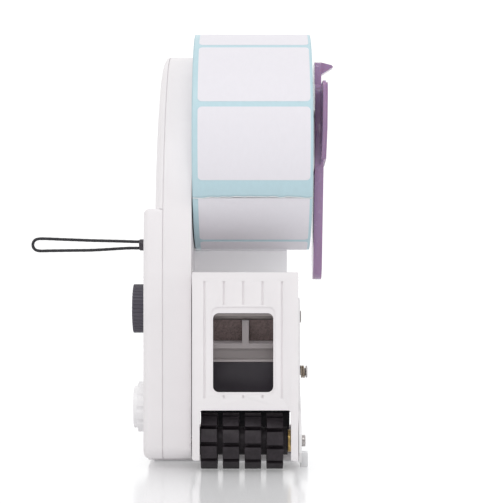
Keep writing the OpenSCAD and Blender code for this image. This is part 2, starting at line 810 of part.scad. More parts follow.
// Outline of the wing that reaches forward from the retainer's hub, moved in by d
function wing_points(d) = concat([[-8, -14], [-30 + d, -11], [-42.5 + d, 5], [-46 + d, 22]],
  arc([-42, 27], 4 - d, 180, 90, 5), [[-8, 31 - d]]);
module retainer_plate() {
  hub_r = 18;
  tip_r = 13;
  shoulder = 33;
  wing_t = 2.6;
  wing_x1 = retainer_x1 + 0.5;
  wing_edge = 1;
  tab_t = retainer_t - 1.2;
  tab_y = [-8, 12];
  tab_top = 46;
  flare = 7;
  color(PURPLE) {
    slab(retainer_x0, retainer_x1) translate(roll_at) {
      circle(r = hub_r, $fn = 60);
      arm_shape([20, tip_r - retainer_reach], hub_r - 3, tip_r);
      polygon(rounded(tab_y[0] - 7, 0, tab_y[1] + 5, shoulder, 7));
    }
    slab(retainer_x0, retainer_x0 + tab_t) translate(roll_at)
      polygon(rounded(tab_y[0], 0, tab_y[1], tab_top, 4));
    slab(wing_x1 - wing_t, wing_x1 - wing_edge) translate(roll_at) polygon(wing_points(0));
    slab(wing_x1 - wing_edge, wing_x1) translate(roll_at) polygon(wing_points(wing_edge));
    translate([retainer_x0 + tab_t, 0, roll_at[1]]) panel(tab_y[0] + 4, tab_y[1] - 4)
      polygon([[-1, tab_top - 7], [0, tab_top - 7], [flare, tab_top - 2.5],
        [flare - 1, tab_top - 1.5], [0, tab_top], [-1, tab_top]]);
  }
}
// Straight-sided arm from the hub's centre to a round tip
module arm_shape(tip, r0, r1) {
  d = norm(tip);
  a = asin((r0 - r1) / d);
  rotate(atan2(tip[1], tip[0])) {
    polygon([[r0 * sin(a), r0 * cos(a)], [d + r1 * sin(a), r1 * cos(a)],
      [d + r1 * sin(a), -r1 * cos(a)], [r0 * sin(a), -r0 * cos(a)]]);
    translate([d, 0]) circle(r = r1, $fn = 48);
  }
}

module retainer_plug() {
  color(PURPLE) ring(retainer_x0 - 13, retainer_x0, spindle_r - spindle_t - 0.2,
    spindle_r - spindle_t - 2.4, roll_at);
}

// ---- wrist strap ----

// Route of the loop, in X and Z: out of the crimp, round, and back
STRAP = [[-62.5, 123.3], [-64.5, 123.3], [-68, 123.4], [-74, 123.6], [-82, 123.8], [-90, 124],
  [-98, 124.3], [-106, 124.6], [-113, 124.9], [-117, 125], [-119, 124.9], [-120.7, 124.4],
  [-121.9, 123.2], [-122.3, 121.5], [-121.9, 119.9], [-120.7, 118.7], [-119, 118.2],
  [-117, 118.1], [-113, 118.2], [-106, 118.3], [-98, 118.4], [-90, 118.5], [-82, 118.9],
  [-74, 119.4], [-68, 119.7], [-64.5, 119.7], [-62.5, 119.7]];
module strap_cord() {
  color(BLACK) tube([for (p = STRAP) [p[0], strap_at[0], p[1]]], cord_r, [0, 1, 0]);
}

module strap_crimp() {
  color(BLACK) rod(STRAP[0][0], cover_x - 0.6, 3.2, strap_at);
}

module strap_eyelet() {
  color(STEEL) {
    rod(cover_x - 0.6, cover_x, 3.9, strap_at);
    rod(cover_x, cover_x + wall, 2.5, strap_at);
  }
}

main_housing();
side_cover();
reel_shield();
side_plate();
base_plate();
base_pad();
front_foot();
web_guide();
cross_frame();
guide_pads();
brake_block();
peel_plate();
tie_rods();
tie_rod_screws();
cover_screws();
spindle();
spindle_screws();
retainer_plate();
retainer_plug();
roll_core();
liner_roll();
roll_labels();
head_cover();
hinge_pin();
hinge_clip();
friction_screw();
friction_spring();
press_axle();
press_axle_screw();
press_hub();
press_wheel(1);  // press_wheel_1
press_wheel(2);  // press_wheel_2
press_wheel(3);  // press_wheel_3
press_wheel(4);  // press_wheel_4
press_bush();
drive_shaft();
drive_roller();
feed_knob();
shaft_bushes();
drive_gear();
drive_clutch();
anti_reverse_clutch();
idler_gear();
idler_pin();
trigger_lever();
gear_sector();
trigger_pin();
trigger_spring();
pinch_arm();
pinch_pin();
pinch_roller();
pinch_axle();
pinch_spring();
length_knob();
length_cam();
strap_cord();
strap_crimp();
strap_eyelet();
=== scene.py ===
"""Looks for the label applicator: materials, soft edges, the roll of labels, the
shells and the wrist strap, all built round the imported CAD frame. Metres, +Z up, -Y the nose."""

import json
import math
import random

import bmesh
import bpy
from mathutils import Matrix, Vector


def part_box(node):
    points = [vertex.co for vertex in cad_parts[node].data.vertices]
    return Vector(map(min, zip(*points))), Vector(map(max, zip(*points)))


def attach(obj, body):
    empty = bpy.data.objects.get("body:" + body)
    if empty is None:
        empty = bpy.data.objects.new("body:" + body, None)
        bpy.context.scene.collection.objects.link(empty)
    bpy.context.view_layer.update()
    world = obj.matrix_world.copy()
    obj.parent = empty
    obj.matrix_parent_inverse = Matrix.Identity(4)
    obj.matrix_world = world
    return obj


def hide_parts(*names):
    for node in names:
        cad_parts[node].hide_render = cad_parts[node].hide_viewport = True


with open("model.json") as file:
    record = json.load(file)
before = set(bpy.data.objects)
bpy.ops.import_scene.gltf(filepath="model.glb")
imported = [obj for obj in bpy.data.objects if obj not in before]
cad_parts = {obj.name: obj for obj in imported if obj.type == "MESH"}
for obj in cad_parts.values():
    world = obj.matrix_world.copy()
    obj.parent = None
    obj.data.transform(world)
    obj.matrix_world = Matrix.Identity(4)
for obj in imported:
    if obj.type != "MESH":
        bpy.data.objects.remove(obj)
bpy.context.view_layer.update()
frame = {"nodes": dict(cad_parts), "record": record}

NODES = frame["nodes"]
MM = 0.001
TAU = 2 * math.pi
SEED = 7


# ---------------------------------------------------------------- camera and cord

SENSOR_MM = 36
LENS_MM = 97.55
EYE = (0, -0.786, 0.1178)           # square on to the nose, level with the foot of the roll


def make_camera():
    data = bpy.data.cameras.new("camera")
    data.sensor_width = SENSOR_MM
    data.lens = LENS_MM
    data.dof.use_dof = False
    cam = bpy.data.objects.new("camera", data)
    cam.location = EYE
    cam.rotation_euler = (math.radians(90), 0, 0)
    bpy.context.scene.collection.objects.link(cam)
    bpy.context.scene.camera = cam


make_camera()

# The strap's route, the same points as the CAD's, in metres: X, then Z
STRAP_Y = -0.020
STRAP = [(-0.0625, 0.1233), (-0.0645, 0.1233), (-0.068, 0.1234), (-0.074, 0.1236),
         (-0.082, 0.1238), (-0.090, 0.1240), (-0.098, 0.1243), (-0.106, 0.1246),
         (-0.113, 0.1249), (-0.117, 0.1250), (-0.119, 0.1249), (-0.1207, 0.1244),
         (-0.1219, 0.1232), (-0.1223, 0.1215), (-0.1219, 0.1199), (-0.1207, 0.1187),
         (-0.119, 0.1182), (-0.117, 0.1181), (-0.113, 0.1182), (-0.106, 0.1183),
         (-0.098, 0.1184), (-0.090, 0.1185), (-0.082, 0.1189), (-0.074, 0.1194),
         (-0.068, 0.1197), (-0.0645, 0.1197), (-0.0625, 0.1197)]
ROUTE_STEPS = 12                    # points between two of the route's own
CORD_R = 0.00085
CORD_SIDES = 32
CORD_RIB = 0.02 * MM                # height of one strand's wave, of two that cross
STRANDS = 8
LAY = 0.0042                        # length of one full twist of a strand


def mesh_piece(name, verts, faces, body):
    """A smooth mesh that rides on one body."""
    mesh = bpy.data.meshes.new(name)
    mesh.from_pydata([tuple(v) for v in verts], [], faces)
    mesh.validate()
    for face in mesh.polygons:
        face.use_smooth = True
    obj = bpy.data.objects.new(name, mesh)
    bpy.context.scene.collection.objects.link(obj)
    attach(obj, body)
    return obj


def smooth_route(points, steps):
    """Catmull-Rom curve through the points."""
    out = []
    for i in range(len(points) - 1):
        p = [points[min(max(i + k, 0), len(points) - 1)] for k in (-1, 0, 1, 2)]
        for s in range(steps):
            t = s / steps
            out.append(0.5 * (2 * p[1] + t * (p[2] - p[0])
                              + t * t * (2 * p[0] - 5 * p[1] + 4 * p[2] - p[3])
                              + t ** 3 * (3 * p[1] - p[0] - 3 * p[2] + p[3])))
    return out + [points[-1]]


def cord_tube(points):
    """Round cord along a route in an XZ plane, with the ribs of its twisted braid."""
    out = Vector((0, 1, 0))
    sides = CORD_SIDES
    verts, faces = [], []
    travelled = 0
    for i, p in enumerate(points):
        if i:
            travelled += (p - points[i - 1]).length
        ahead = (points[min(i + 1, len(points) - 1)] - points[max(i - 1, 0)]).normalized()
        up = ahead.cross(out)
        for k in range(sides):
            turn = TAU * k / sides
            ribs = CORD_RIB * math.cos(STRANDS * turn + TAU * travelled / LAY)
            ribs_back = CORD_RIB * math.cos(STRANDS * turn - TAU * travelled / LAY)
            r = CORD_R - CORD_RIB + ribs + ribs_back
            verts.append(p + r * (math.cos(turn) * out + math.sin(turn) * up))
    for i in range(len(points) - 1):
        for k in range(sides):
            a, b = i * sides + k, i * sides + (k + 1) % sides
            faces.append((a, b, b + sides, a + sides))
    faces += [tuple(range(sides))[::-1], tuple(len(verts) - sides + k for k in range(sides))]
    return verts, faces


def make_strap():
    route = smooth_route([Vector((x, STRAP_Y, z)) for x, z in STRAP], ROUTE_STEPS)
    cord = mesh_piece("strap_loop", *cord_tube(route), "frame")
    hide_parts("strap_cord")
    return cord


strap = make_strap()


# ---------------------------------------------------------------- materials

class Shader:
    """A Principled material with a few helpers for its node tree."""

    def __init__(self, name, color, roughness, **inputs):
        self.mat = bpy.data.materials.new(name)
        self.mat.use_nodes = True
        self.tree = self.mat.node_tree
        self.bsdf = self.tree.nodes["Principled BSDF"]
        self.bsdf.inputs["Base Color"].default_value = (*color, 1)
        self.bsdf.inputs["Roughness"].default_value = roughness
        for key, value in inputs.items():
            self.bsdf.inputs[key.replace("_", " ")].default_value = value
        self.coord = self.tree.nodes.new("ShaderNodeTexCoord").outputs["Object"]

    def node(self, kind, **settings):
        made = self.tree.nodes.new(kind)
        for key, value in settings.items():
            setattr(made, key, value)
        return made

    def link(self, a, b):
        self.tree.links.new(a, b)

    def stretched(self, scale):
        """Object coordinates stretched by a factor on each axis."""
        node = self.node("ShaderNodeMapping")
        node.inputs["Scale"].default_value = scale
        self.link(self.coord, node.inputs["Vector"])
        return node.outputs["Vector"]

    def noise(self, scale, detail=4, rough=0.55, vector=None):
        node = self.node("ShaderNodeTexNoise")
        node.inputs["Scale"].default_value = scale
        node.inputs["Detail"].default_value = detail
        node.inputs["Roughness"].default_value = rough
        self.link(vector or self.coord, node.inputs["Vector"])
        return node.outputs["Fac"]

    def color(self, value, low, high, from_low=0.3, from_high=0.7):
        """Base colour that runs from low to high as the value does between two places."""
        node = self.node("ShaderNodeValToRGB")
        stops = ((from_low, low), (from_high, high))
        for element, (place, color) in zip(node.color_ramp.elements, stops):
            element.position = place
            element.color = (*color, 1)
        self.link(value, node.inputs["Fac"])
        self.link(node.outputs["Color"], self.bsdf.inputs["Base Color"])

    def rough(self, value, low, high, from_low=0.3, from_high=0.7):
        """Roughness that runs from low to high in the same way."""
        node = self.node("ShaderNodeMapRange")
        for key, v in zip(("From Min", "From Max", "To Min", "To Max"),
                          (from_low, from_high, low, high)):
            node.inputs[key].default_value = v
        self.link(value, node.inputs["Value"])
        self.link(node.outputs["Result"], self.bsdf.inputs["Roughness"])

    def bump(self, value, strength, distance):
        node = self.node("ShaderNodeBump")
        node.inputs["Strength"].default_value = strength
        node.inputs["Distance"].default_value = distance
        self.link(value, node.inputs["Height"])
        self.link(node.outputs["Normal"], self.bsdf.inputs["Normal"])


def scaled(color, factor):
    return tuple(min(1.0, c * factor) for c in color)


def moulded(name, color, roughness, grain=1700, depth=0.05, vary=0.02, **inputs):
    """Moulded plastic: a fine spark-eroded grain, slow colour drift and patchy gloss."""
    s = Shader(name, color, roughness, **inputs)
    drift = s.noise(26, 3)
    s.color(drift, scaled(color, 1 - vary), scaled(color, 1 + vary))
    s.rough(s.noise(140, 5), roughness - 0.05, roughness + 0.06)
    s.bump(s.noise(grain, 3, 0.6), depth, 0.0002)
    return s.mat


def rubber(name, color, roughness, grain=1300):
    """Moulded rubber: soft grain, faint bloom that lightens it in patches."""
    s = Shader(name, color, roughness, Specular_IOR_Level=0.35)
    s.color(s.noise(210, 6, 0.7), color, scaled(color, 2.1), 0.42, 0.8)
    s.rough(s.noise(90, 4), roughness - 0.08, roughness + 0.1)
    s.bump(s.noise(grain, 4, 0.65), 0.16, 0.0003)
    return s.mat


def metal(name, color, roughness, along=(1, 1, 1), depth=0.05):
    """Turned or brushed metal: fine lines stretched along one axis."""
    s = Shader(name, color, roughness, Metallic=1.0)
    lines = s.noise(900, 3, 0.6, s.stretched(along))
    s.color(s.noise(60, 4), scaled(color, 0.9), scaled(color, 1.08))
    s.rough(lines, roughness - 0.06, roughness + 0.1)
    s.bump(lines, depth, 0.0001)
    return s.mat


def felt(name, color):
    """Dense felt: tangled fibres in tone and height, with a soft sheen."""
    s = Shader(name, color, 0.95, Sheen_Weight=0.3, Specular_IOR_Level=0.1)
    s.color(s.noise(900, 8, 0.75), scaled(color, 0.6), scaled(color, 1.5))
    s.bump(s.noise(1400, 8, 0.8), 0.5, 0.0005)
    return s.mat


def paper(name, color, roughness, mottle):
    """Smooth paper: fibres as a fine uneven tone and bump."""
    s = Shader(name, color, roughness, Specular_IOR_Level=0.3)
    fibres = s.noise(420, 8, 0.7, s.stretched((1, 0.55, 0.55)))
    s.color(fibres, scaled(color, 1 - mottle), scaled(color, 1 + mottle))
    s.bump(s.noise(1500, 5, 0.7), 0.05, 0.0001)
    return s.mat


TURNS_PER_METRE = 5200              # of paper thickness, across the roll's side
STRAND_SLANT = math.radians(38)


def layered_paper():
    """Side of the roll: hundreds of turns of label and liner, seen on edge."""
    s = Shader("roll_edge", (0.7, 0.78, 0.82), 0.6, Specular_IOR_Level=0.2)
    split = s.node("ShaderNodeSeparateXYZ")
    s.link(s.coord, split.inputs["Vector"])
    lift = s.node("ShaderNodeMath", operation="SUBTRACT")
    s.link(split.outputs["Z"], lift.inputs[0])
    lift.inputs[1].default_value = ROLL_CENTRE.z
    flat = s.node("ShaderNodeCombineXYZ")
    s.link(split.outputs["Y"], flat.inputs["Y"])
    s.link(lift.outputs[0], flat.inputs["Z"])
    away = s.node("ShaderNodeVectorMath", operation="LENGTH")
    s.link(flat.outputs["Vector"], away.inputs[0])
    turns = s.node("ShaderNodeTexNoise", noise_dimensions="1D")
    turns.inputs["Scale"].default_value = TURNS_PER_METRE
    turns.inputs["Detail"].default_value = 2
    s.link(away.outputs["Value"], turns.inputs["W"])
    s.color(turns.outputs["Fac"], (0.52, 0.63, 0.68), (0.86, 0.87, 0.9), 0.35, 0.62)
    s.bump(turns.outputs["Fac"], 0.35, 0.0002)
    return s.mat


def cord_material():
    """Braided cord: two crossing sets of slanted strands."""
    s = Shader("cord_braid", (0.018, 0.018, 0.021), 0.62, Specular_IOR_Level=0.35,
               Sheen_Weight=0.25)
    slants = []
    for side in (1, -1):
        node = s.node("ShaderNodeTexWave", wave_type="BANDS", bands_direction="X")
        node.inputs["Scale"].default_value = 260
        mapped = s.node("ShaderNodeMapping")
        mapped.inputs["Rotation"].default_value = (0, STRAND_SLANT * side, 0)
        s.link(s.coord, mapped.inputs["Vector"])
        s.link(mapped.outputs["Vector"], node.inputs["Vector"])
        slants.append(node.outputs["Fac"])
    weave = s.node("ShaderNodeMath", operation="MAXIMUM")
    s.link(slants[0], weave.inputs[0])
    s.link(slants[1], weave.inputs[1])
    s.color(weave.outputs[0], (0.008, 0.008, 0.01), (0.035, 0.034, 0.04), 0.2, 0.9)
    s.bump(weave.outputs[0], 0.6, 0.0002)
    return s.mat


LINER_LOW, LINER_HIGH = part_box("liner_roll")
ROLL_CENTRE = (LINER_LOW + LINER_HIGH) / 2

# One for each material slot of the record, and one for the torn fibres
MATERIALS = {
    "shell": moulded("shell_white", (0.87, 0.84, 0.852), 0.42, Coat_Weight=0.05),
    "knob_white": moulded("knob_white", (0.93, 0.92, 0.93), 0.38),
    "painted_plate": moulded("plate_paint", (0.84, 0.83, 0.835), 0.34, grain=900, depth=0.08),
    "guide": moulded("guide_plastic", (0.90, 0.89, 0.91), 0.40),
    # Dark brown felt pad at the back of the window's pockets: its dark colour is painted shade
    # for those deep pockets
    "felt": felt("pocket_painted_shade_felt", (0.20, 0.156, 0.150)),
    "purple": moulded("purple_plastic", (0.33, 0.20, 0.357), 0.24, grain=1100, depth=0.03,
                      vary=0.05, Coat_Weight=0.5, Coat_Roughness=0.12, Subsurface_Weight=0.15,
                      Subsurface_Scale=0.002),
    "black_plastic": moulded("black_plastic", (0.034, 0.028, 0.036), 0.38, vary=0.15),
    "black_rubber": rubber("black_rubber", (0.021, 0.0165, 0.020), 0.55),
    "roller_rubber": rubber("roller_rubber", (0.03, 0.03, 0.034), 0.6),
    "grey_rubber": moulded("grey_rubber", (0.80, 0.80, 0.81), 0.6, grain=1300, depth=0.12,
                           vary=0.05),
    "dark_steel": metal("dark_steel", (0.34, 0.31, 0.30), 0.42, (0.06, 1, 1)),
    "gear_plastic": moulded("acetal", (0.74, 0.72, 0.67), 0.36),
    "steel": metal("bright_steel", (0.56, 0.53, 0.52), 0.26, (0.06, 1, 1)),
    "spring_bronze": metal("bronze_wire", (0.34, 0.28, 0.22), 0.35),
    "brass": metal("turned_brass", (0.66, 0.46, 0.18), 0.27, (1, 0.1, 0.1)),
    "liner": paper("liner_glassine", (0.52, 0.70, 0.76), 0.34, 0.025),
    "fibre": paper("torn_paper", (0.80, 0.84, 0.86), 0.8, 0.05),
    "label": paper("label_paper", (0.82, 0.80, 0.845), 0.5, 0.012),
    "card": paper("core_card", (0.42, 0.30, 0.18), 0.8, 0.12),
    "cord": cord_material(),
}
# Two nodes whose colour differs from their slot's: the length knob's own darker colour, and the
# cross frame's painted shade
OWN_MATERIALS = {
    # The cross frame is the guide's plastic painted darker and browner: painted shade for the
    # window recess it stands in
    "cross_frame": moulded("cross_frame_painted_shade", (0.48, 0.44, 0.44), 0.5),
    "length_knob": moulded("knob_black", (0.078, 0.071, 0.092), 0.4, vary=0.1),
}


def paint(obj, material):
    obj.data.materials.clear()
    obj.data.materials.append(material)


ONE_POINT = 1e-6                    # vertices this close are joined
ONE_FACE = math.radians(0.4)        # faces this nearly level are joined
SHARP = math.radians(35)            # edges steeper than this are rounded


def soften(obj, width):
    """Rounds an object's sharp edges, as moulding and turning leave them."""
    weld = obj.modifiers.new("weld", "WELD")
    weld.merge_threshold = ONE_POINT
    flat = obj.modifiers.new("flat", "DECIMATE")
    flat.decimate_type = "DISSOLVE"
    flat.angle_limit = ONE_FACE
    bevel = obj.modifiers.new("bevel", "BEVEL")
    bevel.width = width
    bevel.segments = 3
    bevel.limit_method = "ANGLE"
    bevel.angle_limit = SHARP
    bevel.harden_normals = True
    bevel.miter_outer = "MITER_ARC"


# Edge radius of each carried-over node, in millimetres; the others get the fine one
FINE_EDGE = 0.12
EDGES = {
    "main_housing": 0.5, "head_cover": 0.45, "web_guide": 0.3, "brake_block": 0.6,
    "press_wheel_1": 0.55, "press_wheel_2": 0.55, "press_wheel_3": 0.55, "press_wheel_4": 0.55,
    "trigger_lever": 1.4, "retainer_plate": 0.9, "cross_frame": 0.3, "guide_pads": 0.4,
    "feed_knob": 0.8, "length_knob": 0.15,
    "front_foot": 0.8, "base_plate": 0.5, "base_pad": 0.3, "spindle": 0.5, "press_hub": 0.3,
    "press_axle_screw": 0.5, "friction_screw": 0.4, "strap_crimp": 0.7, "strap_eyelet": 0.3,
    "hinge_pin": 0.3, "press_bush": 0.3, "drive_roller": 0.4, "side_plate": 0.2,
}
PLAIN = {"friction_spring", "trigger_spring", "pinch_spring", "strap_cord"}


def dress_cad_nodes():
    slots = {row["node"]: row["material_slot"] for row in frame["record"]["subparts"]}
    for name, obj in NODES.items():
        paint(obj, OWN_MATERIALS.get(name, MATERIALS[slots[name]]))
        for face in obj.data.polygons:
            face.use_smooth = True
        if name not in PLAIN:
            soften(obj, EDGES.get(name, FINE_EDGE) * MM)


dress_cad_nodes()
paint(strap, MATERIALS["cord"])


# ---------------------------------------------------------------- the roll of labels

CORE_LOW, CORE_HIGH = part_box("roll_core")
LABEL_LOW, LABEL_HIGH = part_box("roll_labels")
CORE_R = (CORE_HIGH.z - CORE_LOW.z) / 2
LABEL_R = (LABEL_HIGH.z - LABEL_LOW.z) / 2
LINER_R = LABEL_R - 0.15 * MM       # the liner's outermost turn
TURN_STEP = 0.5 * MM                # how far the web's end stands above the turn below it
TEAR = math.radians(-33)            # angles run up from the nose, as in the CAD
WEB_LAP = math.radians(2)           # how far the web runs on below its own torn end
LIP = 0.05 * MM                     # how deep the torn edge reaches into the turn below
UNEVEN = 0.10                       # spread of the turns' sides, in millimetres
FIRST_LABEL = math.radians(-23.2)
LABEL_L = 40 * MM
LABEL_GAP = 3 * MM
LABEL_CORNER = 2.3 * MM
LABEL_TOP = 0.13 * MM               # a label's outer face above the liner
LABEL_FOOT = -0.03 * MM             # and its inner face, just inside it
LABEL_SLIP = 0.12                   # how far a label may sit to the side, in millimetres
LABEL_SKEW = 0.0012                 # and how far it may be turned, as a slope
CUT_EDGE = 0.05 * MM                # radius of a label's cut edge
PAST_TEAR = 0.01                    # the last label starts no further past the tear, in radians


def on_roll(x, angle, radius):
    """Point on the roll: the angle is 0 at the nose and grows upwards."""
    return Vector((x, ROLL_CENTRE.y - radius * math.cos(angle),
                   ROLL_CENTRE.z + radius * math.sin(angle)))


def turn_radius(angle):
    """The web winds inwards by one step for each turn behind the torn end."""
    return LINER_R - TURN_STEP * (angle - TEAR) / TAU


def grid_faces(rows, columns, start=0, flip=False):
    """Four-sided faces over a grid of points that was made row by row."""
    faces = []
    for i in range(rows - 1):
        for j in range(columns - 1):
            a = start + i * columns + j
            quad = (a, a + 1, a + columns + 1, a + columns)
            faces.append(quad[::-1] if flip else quad)
    return faces


def waves(rng, count, low, high):
    """A sum of sines with seeded phases, as a function of one value."""
    terms = [(rng.uniform(low, high), rng.uniform(0, TAU), rng.uniform(0.4, 1))
             for _ in range(count)]
    total = sum(t[2] for t in terms)
    return lambda v: sum(k * math.sin(f * v + p) for f, p, k in terms) / total


def make_web():
    """The wound liner: its outer turn ends in an uneven tear, its sides show the turns."""
    rng = random.Random(SEED)
    rag = waves(rng, 9, 120, 1500)
    drift = waves(rng, 3, 40, 110)
    across, around = 66, 240
    x0, x1 = LINER_LOW.x, LINER_HIGH.x
    xs = [x0 + (x1 - x0) * j / (across - 1) for j in range(across)]
    # Fine rags on a slow drift, in degrees
    tears = [TEAR + math.radians(0.55 * rag(x) + 0.5 * drift(x) + 0.35) for x in xs]
    verts, faces = [], []
    for i in range(around + 1):
        share = i / around
        for x, tear in zip(xs, tears):
            angle = tear + (TAU - tear + TEAR + WEB_LAP) * share
            verts.append(on_roll(x, angle, turn_radius(angle)))
    faces += grid_faces(around + 1, across)
    lip = len(verts)
    for x, tear in zip(xs, tears):
        verts.append(on_roll(x, tear, LINER_R - TURN_STEP - LIP))
    for j in range(across - 1):
        faces.append((j + 1, j, lip + j, lip + j + 1))
    # Side faces, ring by ring from the rim to the core
    rings = 44
    left, right = [], []            # each side's rows
    for side, column, inward, rows in ((x0, 0, 1, left), (x1, across - 1, -1, right)):
        previous = [i * across + column for i in range(around + 1)]
        for k in range(1, rings + 1):
            offset = 0 if k == rings else abs(rng.gauss(0, UNEVEN)) * MM
            row = []
            for i in range(around + 1):
                angle = TEAR + (TAU + WEB_LAP) * i / around
                rim = turn_radius(angle)
                radius = rim + (CORE_R - rim) * k / rings
                row.append(len(verts))
                verts.append(on_roll(side + inward * offset, angle, radius))
            for i in range(around):
                quad = (previous[i], previous[i + 1], row[i + 1], row[i])
                faces.append(quad if inward > 0 else quad[::-1])
            previous = row
            rows.append(row)
    # The wall at the core, and the two ends inside the roll, close the web
    for i in range(around):
        faces.append((left[-1][i], left[-1][i + 1], right[-1][i + 1], right[-1][i]))
    torn_end = ([lip + j for j in range(across)] + [across - 1]
                + [row[0] for row in right] + [row[0] for row in left[::-1]] + [0])
    inner_end = ([around * across + j for j in range(across)]
                 + [row[around] for row in right] + [row[around] for row in left[::-1]])
    faces += [tuple(torn_end[::-1]), tuple(inner_end)]
    web = mesh_piece("label_web", verts, faces, "label_roll")
    web.data.materials.append(MATERIALS["liner"])
    web.data.materials.append(layered_paper())
    side_from = around * (across - 1) + across - 1
    for index, face in enumerate(web.data.polygons):
        if index >= side_from:
            face.material_index = 1
    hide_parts("liner_roll")
    return xs, tears


def make_torn_fibres(xs, tears):
    """White fibres that the tear has pulled out along the web's end."""
    rng = random.Random(SEED + 1)
    rag = waves(rng, 12, 600, 5200)
    root = math.radians(0.35)       # how far the fibres lie back on the web
    count = 5
    verts, faces = [], []
    for x, tear in zip(xs, tears):
        # How far the fibres stand out past the tear, in degrees
        reach = math.radians(0.18 + 0.42 * max(0.0, 0.5 + rag(x)))
        # A flat, closed section: its angle, and its height over the web in millimetres
        for angle, lift in ((tear + root, 0.04), (tear, 0.04),
                            (tear - reach, -0.12), (tear - reach, -0.2), (tear, -0.1)):
            verts.append(on_roll(x, angle, turn_radius(TEAR) + lift * MM))
    for j in range(len(xs) - 1):
        for k in range(count):
            a, b = j * count + k, j * count + (k + 1) % count
            faces.append((a, b, b + count, a + count))
    faces += [tuple(range(count))[::-1], tuple(len(verts) - count + k for k in range(count))]
    fibres = mesh_piece("torn_fibres", verts, faces, "label_roll")
    paint(fibres, MATERIALS["fibre"])


def label_rows():
    """Half width of a label along its length: square sides with rounded corners."""
    half = LABEL_L / 2
    width = (LABEL_HIGH.x - LABEL_LOW.x) / 2
    steps = 7
    corner = [math.pi / 2 * i / steps for i in range(steps + 1)]
    top = [(half - LABEL_CORNER + LABEL_CORNER * math.sin(a),
            width - LABEL_CORNER + LABEL_CORNER * math.cos(a)) for a in corner]
    straight = 16
    middle = [(-half + LABEL_CORNER + (2 * half - 2 * LABEL_CORNER) * i / straight, width)
              for i in range(1, straight)]
    return [(-u, w) for u, w in top[::-1]] + middle + top


def make_label(index, start, rows, rng):
    """One label bent round the roll, with its cut edge standing on the liner."""
    across = 9
    centre = (LABEL_LOW.x + LABEL_HIGH.x) / 2 + rng.uniform(-LABEL_SLIP, LABEL_SLIP) * MM
    skew = rng.uniform(-LABEL_SKEW, LABEL_SKEW)
    middle = start + LABEL_L / 2 / LABEL_R
    verts = []
    for lift in (LABEL_TOP, LABEL_FOOT):
        for u, w in rows:
            for j in range(across):
                v = -w + 2 * w * j / (across - 1)
                angle = middle + (u + v * skew) / LABEL_R
                verts.append(on_roll(centre + v - u * skew, angle, turn_radius(angle) + lift))
    n = len(rows) * across
    faces = grid_faces(len(rows), across) + grid_faces(len(rows), across, n, True)
    rim = (list(range(across)) + [i * across + across - 1 for i in range(1, len(rows))]
           + [n - 1 - j for j in range(1, across)]
           + [i * across for i in range(len(rows) - 2, 0, -1)])
    for a, b in zip(rim, rim[1:] + rim[:1]):
        faces.append((b, a, a + n, b + n))
    label = mesh_piece(f"label_{index + 1:02d}", verts, faces, "label_roll")
    paint(label, MATERIALS["label"])
    edge = label.modifiers.new("edge", "BEVEL")
    edge.width = CUT_EDGE
    edge.segments = 2
    edge.limit_method = "ANGLE"
    edge.harden_normals = True
    if index == 0:
        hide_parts("roll_labels")


def make_labels():
    rng = random.Random(SEED + 2)
    rows = label_rows()
    pitch = (LABEL_L + LABEL_GAP) / LABEL_R
    last = TEAR + TAU - FIRST_LABEL + PAST_TEAR
    for index in range(math.floor(last / pitch) + 1):
        make_label(index, FIRST_LABEL + index * pitch, rows, rng)


make_torn_fibres(*make_web())
make_labels()


# ---------------------------------------------------------------- outer shells

# The body's side outline, in millimetres, after the CAD: Y, then Z
STEP_Z = 141
SWEEP_AT, SWEEP_R = (99, 110), 150
DOME_R, DOME_Z = 60, 174
BACK_CORNER = 8
HEEL, CROOK = 10, 6
NECK = 30
FRONT_Y, REAR_Y, FOOT_Z = -51, 78, 5
HANDLE_Z, HANDLE_H, HANDLE_REAR = 98, 34, 177
STEP_CORNER = 2
WALL = 2.4
COVER_EDGE = 3.2                    # outer radius of the side cover's edge
INNER_CORNER = 0.8
SHOULDER = 26                       # width over which the shield's edge turns in
CROWN, RUN_IN = 0.9, 1.15           # how full the shoulder is, and how softly it starts
INSIDE = 0.45                       # share of the shield's depth that is hollow
TAPER = 2                           # how far the hollow narrows towards its floor
DOME_Y = SWEEP_AT[0] - math.sqrt((SWEEP_R - DOME_R) ** 2 - (DOME_Z - SWEEP_AT[1]) ** 2)
DOME_ANGLE = math.degrees(math.atan2(DOME_Z - SWEEP_AT[1], DOME_Y - SWEEP_AT[0]))
DOME_BACK = DOME_Y + DOME_R
LEAST_R = 0.05                      # what is left of a radius that an inset has used up

POCKET_DEPTH = 1.8 * MM
POCKET_GAP = 0.2 * MM               # round a screw's head
HEAD_DEPTH = 2 * MM                 # a head lies this close to the cover's face
HEAD_SPAN = 8 * MM                  # and no wider than this


def arc(centre, r, start, end, steps):
    """Points on an arc, from one angle to another in degrees."""
    r = max(r, LEAST_R)
    return [(centre[0] + r * math.cos(math.radians(a)), centre[1] + r * math.sin(math.radians(a)))
            for a in (start + (end - start) * i / steps for i in range(steps + 1))]


